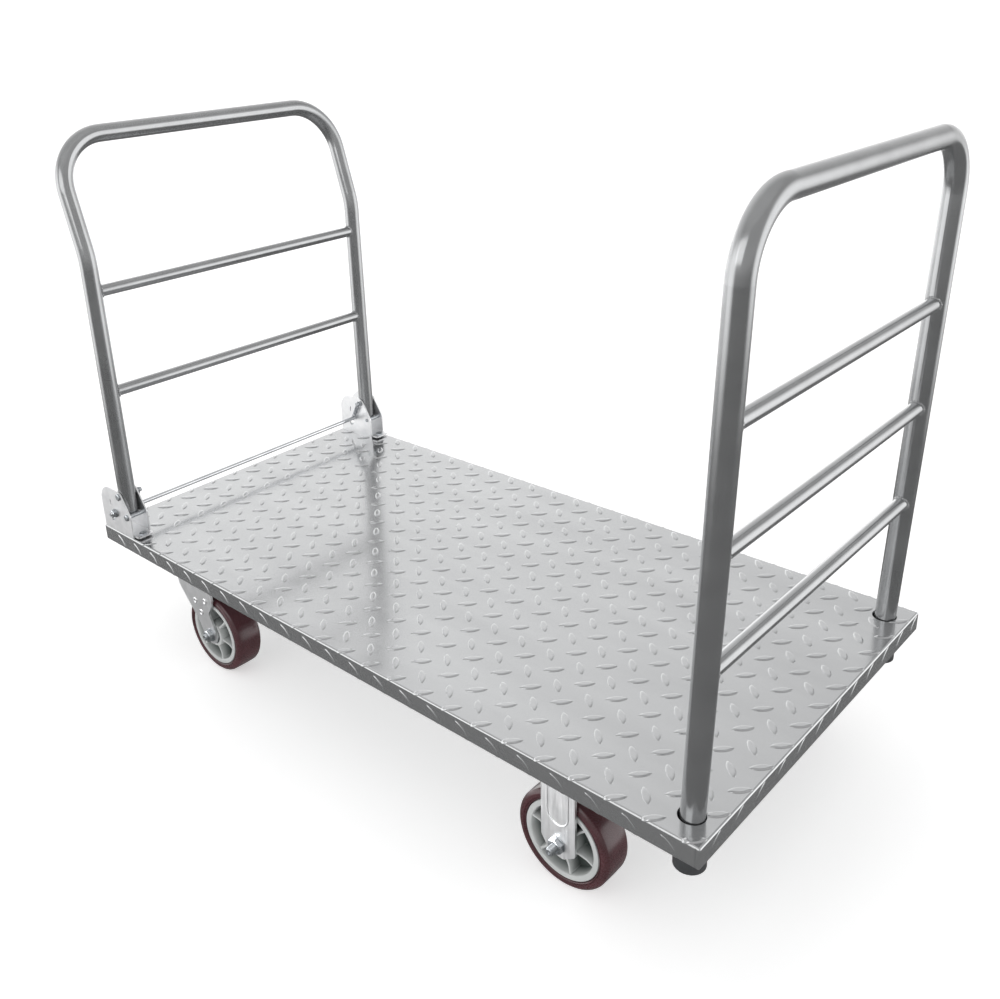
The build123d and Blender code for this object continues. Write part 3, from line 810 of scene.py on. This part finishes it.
rigidLook = {
    "outline": [(-26, 2), (-13, -17), (8, -20), (26, -7)], "corners": [7, 9, 7, 4], "halfLeg": 26,
    "ribReach": 16, "ribTop": 170, "ribBottom": 120, "ribArc": (118, 18), "rib": 2.6, "bend": 2.4}


def rigidFork(side):
    look = rigidLook
    x, y = casterLook["rigidX"], side * casterLook["side"]
    reach = plateUnder - casterLook["wheel"]
    half = look["halfLeg"]
    outline = roundedOutline([(-half, reach)] + look["outline"] + [(half, reach)], [0] + look["corners"] + [0])
    shapes = [mountingPlate(x, y)]
    for legSide in (-1, 1):
        shapes.append(standingLeg(outline, (x, casterLook["wheel"]), [drilled(0, 0, casterLook["axleHole"])],
                                  legSide, y))
        face = y + legSide * (casterLook["legInner"] + casterLook["wall"])
        wide, (arcAt, arcDrop) = look["ribReach"], look["ribArc"]
        path = [(x - wide, look["ribTop"]), (x - wide, look["ribBottom"])]
        path += [(x - wide * math.cos(a), arcAt - arcDrop * math.sin(a))
                 for a in (math.pi * k / 16 for k in range(17))]
        path += [(x + wide, look["ribBottom"]), (x + wide, look["ribTop"])]
        shapes.append(pressedRib(path, face - legSide * 0.55, look["rib"]))
        bend = [Vector((x + dx, face - legSide * 1.0, plateUnder + 0.2)) * mm for dx in (-half, half)]
        shapes.append(tubeAlong(bend, look["bend"] * mm, 12))
    return joined(*shapes)


swivelLook = {
    "top": 162.0, "dimples": ((9, -37), (23, -55), (37, -29)),
    "dimple": [(0, 5.4), (0.9, 5.1), (1.3, 4.2), (0.9, 2.6), (0.7, 0.01)],
    "crown": [(0.0, 6.2), (0.0, 34.0), (1.2, 37.0), (3.0, 38.0), (4.0, 38.0), (4.0, 36.0), (2.6, 30.0),
              (4.0, 27.0), (4.0, 6.2)],
    "bridge": [(-37, -30.5), (57, -30.5), (57, 30.5), (-37, 30.5)], "bridgeThick": 3.9, "kingpinHole": 6.3,
    "lip": [(0.0, 38.0), (-2.0, 38.6), (-4.5, 38.2), (-5.2, 37.2), (-4.2, 36.4), (-1.5, 36.0), (0.0, 34.0)]}


def swivelFork(side):
    look = swivelLook
    x, y = casterLook["kingpinX"], side * casterLook["side"]
    axle = casterLook["swivelX"] - x
    top = look["top"]
    drop = casterLook["wheel"] - top
    outline = roundedOutline(
        [(-37, 1.5), (-36, -18), (axle - 27, drop + 14), (axle - 15, drop - 15), (axle + 9, drop - 17),
         (axle + 19, drop + 4), (axle + 1, drop + 42), (52, -39), (57, -26), (57, 1.5)],
        [0, 30, 14, 12, 12, 16, 8, 12, 10, 0])
    shapes = []
    for legSide in (-1, 1):
        shapes.append(standingLeg(outline, (x, top), [drilled(axle, drop, casterLook["axleHole"])], legSide, y))
        face = y + legSide * (casterLook["legInner"] + casterLook["wall"])
        for dx, dz in look["dimples"]:
            shapes.append(moved(turned([(a * legSide, r) for a, r in look["dimple"]], 24, closed=False),
                                Matrix.Translation(Vector((x + dx, face - legSide * 0.2, top + dz)) * mm)))
    flat = Matrix.Rotation(math.radians(90), 4, "X")
    shapes.append(moved(turned(look["crown"], 72), Matrix.Translation(Vector((x, y, top)) * mm) @ flat))
    bridge = sheetFrom(roundedOutline(look["bridge"], [4] * 4), look["bridgeThick"],
                       [drilled(0, 0, look["kingpinHole"])])
    shapes.append(moved(bridge, Matrix.Translation(Vector((x, y, top + 0.05)) * mm) @ flat))
    return joined(*shapes)


def swivelPlate(side):
    x, y = casterLook["kingpinX"], side * casterLook["side"]
    # raceway pressed down out of the plate
    hang = Matrix.Translation(Vector((x, y, plateUnder + 0.2)) * mm) @ Matrix.Rotation(math.radians(-90), 4, "X")
    lip = moved(turned([(-a, r) for a, r in swivelLook["lip"]], 72), hang)
    return joined(mountingPlate(x, y), lip)


for name, side in ends:
    makePiece(name + "RigidFork", rigidFork(side), brightZinc, "truck", ["rigid_fork_" + name], 0.4)
    makePiece(name + "SwivelFork", swivelFork(side), brightZinc, "swivel_caster_" + name,
              ["swivel_fork_" + name], 0.4)
    makePiece(name + "SwivelPlate", swivelPlate(side), brightZinc, "truck", ["swivel_plate_" + name],
              0.3)
    keepNode("race_balls_" + name, groundSteel)

casterBolts, casterNuts = [], []
for x in (casterLook["kingpinX"], casterLook["rigidX"]):
    for name, side in ends:
        for dx in (-1, 1):
            for dy in (-1, 1):
                spot = (x + dx * casterLook["boltX"], side * (casterLook["side"] + dy * casterLook["boltY"]))
                flats, head, radius = (casterLook[key] for key in ("boltFlats", "boltHead", "boltRadius"))
                casterBolts.append(((spot[0], spot[1], casterLook["headFoot"]), (0, 0, 1), flats, head, radius,
                                    casterLook["boltLength"], casterLook["boltPitch"]))
                nutAt = Vector((spot[0], spot[1], plateUnder)) * mm
                casterNuts.append(moved(hexBlock(flats, head, radius), alignedTo((0, 0, -1), nutAt)))
screwSet("casterBolts", ["caster_bolts"], casterBolts, boltZinc, "truck")
makePiece("casterNuts", joined(*casterNuts), boltZinc, "truck", ["caster_nuts"])
for node in ("kingpins", "kingpin_nuts"):
    keepNode(node, boltZinc)
print("forks ready")

wheelLook = {
    "hubHalf": 25.5, "ribs": 6, "ribShift": 0.25, "pocket": (23.5, 48.5, 12), "axleFlats": 19.0, "axleHead": 7.6,
    "axleRadius": 6.0, "axlePitch": 1.75, "axleNut": 6.9, "washer": (6.1, 11.5, 1.6),
    "axlePast": {"rigid": 19.0, "swivel": 12.8},
    # half sections as (distance from the middle, radius): tread with its groove and lip, core with rim, web and hub
    "tread": [(19.6, 56.0), (19.8, 57.0), (23.0, 57.5), (23.6, 58.6), (22.7, 59.2), (22.7, 59.9), (23.9, 60.5),
              (24.0, 61.2), (24.0, 63.6), (23.5, 65.4), (20.6, 68.6), (19.4, 69.3), (17.8, 69.7), (8.0, 69.95),
              (0.0, 70.0)],
    "bore": [(-12.0, 56.0), (0.0, 56.0), (12.0, 56.0)],
    "rimFace": 23.4, "ribProfile": ((20.5, 23.6, 3.4), (27, 21.6, 3.0), (38, 20.6, 2.7), (45, 21.4, 2.9),
                                    (49.2, 22.0, 3.6))}


def wheelTread():
    side = wheelLook["tread"]
    return turned(side + [(-a, r) for a, r in side[-2::-1]] + wheelLook["bore"], 144)


def wheelCore():
    look = wheelLook
    face = look["rimFace"]
    rim = [(face - 1.4, 56.0), (face - 0.4, 55.7), (face, 55.0), (face, 49.4), (face - 0.6, 48.5), (face - 2.4, 47.9),
           (3.4, 46.6), (3.0, 45.8), (3.0, 24.6), (3.6, 23.8), (look["hubHalf"] - 1.6, 22.4),
           (look["hubHalf"] - 0.4, 21.8),
           (look["hubHalf"], 21.0), (look["hubHalf"], 18.2), (look["hubHalf"] - 0.6, 17.5), (14.5, 17.5), (14.5, 9.1),
           (0.0, 9.1)]
    shapes = [turned(rim + [(-a, r) for a, r in rim[-2::-1]] + look["bore"], 144)]
    for k in range(look["ribs"]):
        for end in (-1, 1):
            rings = []
            for radius, height, thick in look["ribProfile"]:
                section = ((2.0, -thick), (height - 1.0, -thick + 0.9), (height, -thick + 1.7),
                           (height, thick - 1.7), (height - 1.0, thick - 0.9), (2.0, thick))
                rings.append([(radius, end * a, b) for a, b in section])
            verts, faces = loft(rings)
            turn = Matrix.Rotation(2 * math.pi * (k + look["ribShift"]) / look["ribs"], 4, "Y")
            shapes.append(moved(([Vector(v) * mm for v in verts], faces), turn))
    return joined(*shapes)


def pocketShadeMask(at, x, y):
    # 1 on the floor of a pocket, where the core's colour is darkened as painted shade with some grime; 0 on rim, ribs'
    # crests and hub
    radius, along = math.hypot(at.x - x, at.z - casterLook["wheel"]), abs(at.y - y)
    inner, outer, deep = wheelLook["pocket"]
    return 1.0 if inner < radius < outer and along < deep else 0.0


treadShape, coreShape = wheelTread(), wheelCore()
for name, side in ends:
    for kind in ("rigid", "swivel"):
        x = casterLook[kind + "X"]
        wheelBody = f"{kind}_wheel_{name}"
        place = Matrix.Translation(Vector((x, side * casterLook["side"], casterLook["wheel"])) * mm)
        makePiece(f"{name}{kind.title()}Tread", moved(treadShape, place), treadRubber, wheelBody,
                  [f"{kind}_tread_{name}"], smoothTo=50)
        makePiece(f"{name}{kind.title()}Core", moved(coreShape, place), coreResin, wheelBody,
                  [f"{kind}_core_{name}"], smoothTo=40,
                  mark=lambda at: pocketShadeMask(at, x, side * casterLook["side"]))
        keepNode(f"{kind}_bearings_{name}", groundSteel)
        keepNode(f"{kind}_sleeve_{name}", groundSteel)
        body = "truck" if kind == "rigid" else "swivel_caster_" + name
        outer = casterLook["legInner"] + casterLook["wall"]
        headAt = (x, side * (casterLook["side"] - outer), casterLook["wheel"])
        look = wheelLook
        screwSet(f"{name}{kind.title()}Axle", [f"{kind}_axle_{name}"],
                 [(headAt, (0, -side, 0), look["axleFlats"], look["axleHead"], look["axleRadius"],
                   2 * outer + look["axlePast"][kind], look["axlePitch"])], boltZinc, body)
        nutAt = Vector((x, side * (casterLook["side"] + outer), casterLook["wheel"])) * mm
        seat = alignedTo((0, side, 0), nutAt)
        nut = joined(moved(washer(*look["washer"]), seat),
                     moved(hexBlock(look["axleFlats"], look["axleNut"], look["axleRadius"]),
                           seat @ Matrix.Translation((0, 0, look["washer"][2] * mm))))
        makePiece(f"{name}{kind.title()}AxleNut", nut, boltZinc, body, [f"{kind}_axle_nut_{name}"])
print("wheels ready")


studioLook = {
    "floor": "#f4f4f4", "floorGlow": 0.5, "frontHigh": 0.50, "frontLow": 0.18,
    "back": (0.15, 1.0), "glow": (1.9, 1.2),
    "up": 0.60,
    "sides": 1.7, "wallDistance": 6.0, "wallCurve": 2.0, "wallHeight": 7.0, "floorFront": 9.0, "halfWidth": 16.0,
    "mottleMm": 400.0, "wallWay": (-0.88, 0.47, 0.0), "rightWay": (0.718, 0.696, 0.0),
    "leftWay": (-0.718, -0.696, 0.0)}


def studioFloor():
    # paper sweep: flat floor that curves up into a wall behind the truck
    look = studioLook
    away, across = Vector((-0.70, 0.714, 0)), Vector((0.714, 0.70, 0))
    profile = [(-look["floorFront"], 0.0)]
    for k in range(17):
        a = math.pi / 2 * k / 16
        profile.append((look["wallDistance"] + look["wallCurve"] * math.sin(a),
                        look["wallCurve"] * (1 - math.cos(a))))
    profile.append((look["wallDistance"] + look["wallCurve"], look["wallHeight"]))
    rings = [[away * far + across * side * look["halfWidth"] + Vector((0, 0, up)) for side in (-1, 1)]
             for far, up in profile]
    mesh = bpy.data.meshes.new("studioFloor")
    verts, faces = loft(rings, closedAround=False, capStart=False, capEnd=False)
    mesh.from_pydata(verts, [], faces)
    mesh.shade_smooth()
    floor = bpy.data.objects.new("studioFloor", mesh)
    bpy.context.scene.collection.objects.link(floor)
    material, tree, shader, place = startMaterial("paleMattPaper")
    # seamless paper: almost white, matt, barely mottled
    tone = addNode(tree, "ShaderNodeTexNoise", {"Scale": perMetre(look["mottleMm"]), "Detail": 2.0},
                   {"Vector": place}).outputs["Fac"]
    tree.links.new(twoTone(tree, tone, "#f1f1f1", look["floor"]), shader.inputs["Base Color"])
    shader.inputs["Roughness"].default_value = 0.9
    shader.inputs["Specular IOR Level"].default_value = 0.1
    shader.inputs["Emission Color"].default_value = toLinear("#ffffff")
    shader.inputs["Emission Strength"].default_value = look["floorGlow"]  # lit from below, so shadows stay pale
    mesh.materials.append(material)
    floor.visible_glossy = False  # metal then mirrors the studio's own gradient, not the paper


def studioWorld():
    # bright wall behind the truck, a pale panel at either side, dim room in front and below
    look = studioLook
    world = bpy.data.worlds.new("studioWorld")
    bpy.context.scene.world = world
    world.use_nodes = True
    tree = world.node_tree
    tree.nodes.clear()
    way = addNode(tree, "ShaderNodeTexCoord").outputs["Generated"]
    high = addNode(tree, "ShaderNodeSeparateXYZ", links={"Vector": way}).outputs["Z"]

    # how far a direction leans to the back wall and to each side panel
    toWall, toRight, toLeft = [
        addNode(tree, "ShaderNodeVectorMath", {"operation": "DOT_PRODUCT", 1: direction}, {0: way}).outputs["Value"]
        for direction in (look["wallWay"], look["rightWay"], look["leftWay"])]
    front, wall, glow, foot, ceiling, rightPanel, leftPanel, panelFoot = [
        addNode(tree, "ShaderNodeMapRange", fromTo(*span), {"Value": value}).outputs["Result"]
        for value, span in ((high, (-0.30, 0.05, look["frontLow"], look["frontHigh"])),
                            (toWall, (-0.15, 1.0, look["back"][0], look["back"][1])),
                            (high, (0.12, 0.30, look["glow"][0], look["glow"][1])),
                            (high, (-0.42, -0.20, 0.0, 1.0)),
                            (high, (0.35, 0.80, 0.0, look["up"])),
                            (toRight, (0.78, 0.96, 0.0, look["sides"])),
                            (toLeft, (0.78, 0.96, 0.0, look["sides"])),
                            (high, (-0.42, -0.28, 0.0, 1.0)))]
    wall, rightPanel, leftPanel = [
        addNode(tree, "ShaderNodeMath", {"operation": "MULTIPLY"}, {0: layer, 1: fade}).outputs["Value"]
        for layer, fade in ((wall, foot), (rightPanel, panelFoot), (leftPanel, panelFoot))]
    wall = addNode(tree, "ShaderNodeMath", {"operation": "MULTIPLY"}, {0: wall, 1: glow}).outputs["Value"]
    total = front
    for layer in (wall, ceiling, rightPanel, leftPanel):
        total = addNode(tree, "ShaderNodeMath", {"operation": "MAXIMUM"}, {0: total, 1: layer}).outputs["Value"]
    light = addNode(tree, "ShaderNodeBackground", {"Color": toLinear("#ffffff")}, {"Strength": total})
    addNode(tree, "ShaderNodeOutputWorld", links={"Surface": light.outputs["Background"]})


def softbox(name, at, target, size, power):
    data = bpy.data.lights.new(name, "AREA")
    data.shape = "RECTANGLE"
    data.size, data.size_y, data.energy = size[0], size[1], power
    lamp = bpy.data.objects.new(name, data)
    lamp.location = at
    lamp.rotation_euler = (Vector(target) - Vector(at)).to_track_quat("-Z", "Y").to_euler()
    bpy.context.scene.collection.objects.link(lamp)
    return lamp


# focal and centre are in the units of frame, and angles are in degrees
cameraLook = {
    "at": (1.02502, -1.09479, 1.05082), "yaw": 44.125, "pitch": 21.535, "roll": -2.681, "focal": 1060.25,
    "centre": (443.72, 418.05), "frame": (1000, 999), "sensor": 36.0}


def studioCamera():
    look = cameraLook
    yaw, pitch, roll = (math.radians(look[k]) for k in ("yaw", "pitch", "roll"))
    back = Vector((math.sin(yaw) * math.cos(pitch), -math.cos(yaw) * math.cos(pitch), math.sin(pitch)))
    right = Vector((math.cos(yaw), math.sin(yaw), 0))
    above = back.cross(right)
    tiltedRight = right * math.cos(roll) + above * math.sin(roll)
    tiltedUp = above * math.cos(roll) - right * math.sin(roll)
    data = bpy.data.cameras.new("studioCamera")
    data.sensor_width = look["sensor"]
    data.lens = look["focal"] / look["frame"][0] * data.sensor_width
    data.shift_x = (look["frame"][0] / 2 - look["centre"][0]) / look["frame"][0]
    data.shift_y = (look["centre"][1] - look["frame"][1] / 2) / look["frame"][0]
    camera = bpy.data.objects.new("studioCamera", data)
    turn = Matrix((tiltedRight, tiltedUp, back)).transposed()
    camera.matrix_world = Matrix.Translation(look["at"]) @ turn.to_4x4()
    bpy.context.scene.collection.objects.link(camera)
    bpy.context.scene.camera = camera


studioFloor()
studioWorld()
softbox("frontBox", (0.2, -2.6, 1.9), (0, 0, 0.2), (2.4, 1.4), 12.0)
rearFill = softbox("rearZincFill", (-1.5, -2.0, 0.10), (0, -0.2, 0.14), (1.6, 0.5), 11.0)
frontFill = softbox("frontZincFill", (-0.1, -1.3, 0.06), (0.39, -0.25, 0.13), (0.8, 0.12), 17.0)
# light linking: the low lamps lift the bright zinc out of the deck's shade and reach nothing else
for lamp, starts in ((rearFill, ""), (frontFill, ("nearRigid", "farRigid"))):
    receivers = bpy.data.collections.new(lamp.name + "Receivers")
    for obj in bpy.data.objects:
        zinc = obj.type == "MESH" and obj.data.materials and obj.data.materials[0] in (brightZinc, boltZinc)
        if zinc and obj.name.startswith(starts):
            receivers.objects.link(obj)
    lamp.light_linking.receiver_collection = receivers
studioCamera()
bpy.context.scene.view_settings.view_transform = "Standard"
print("studio ready")
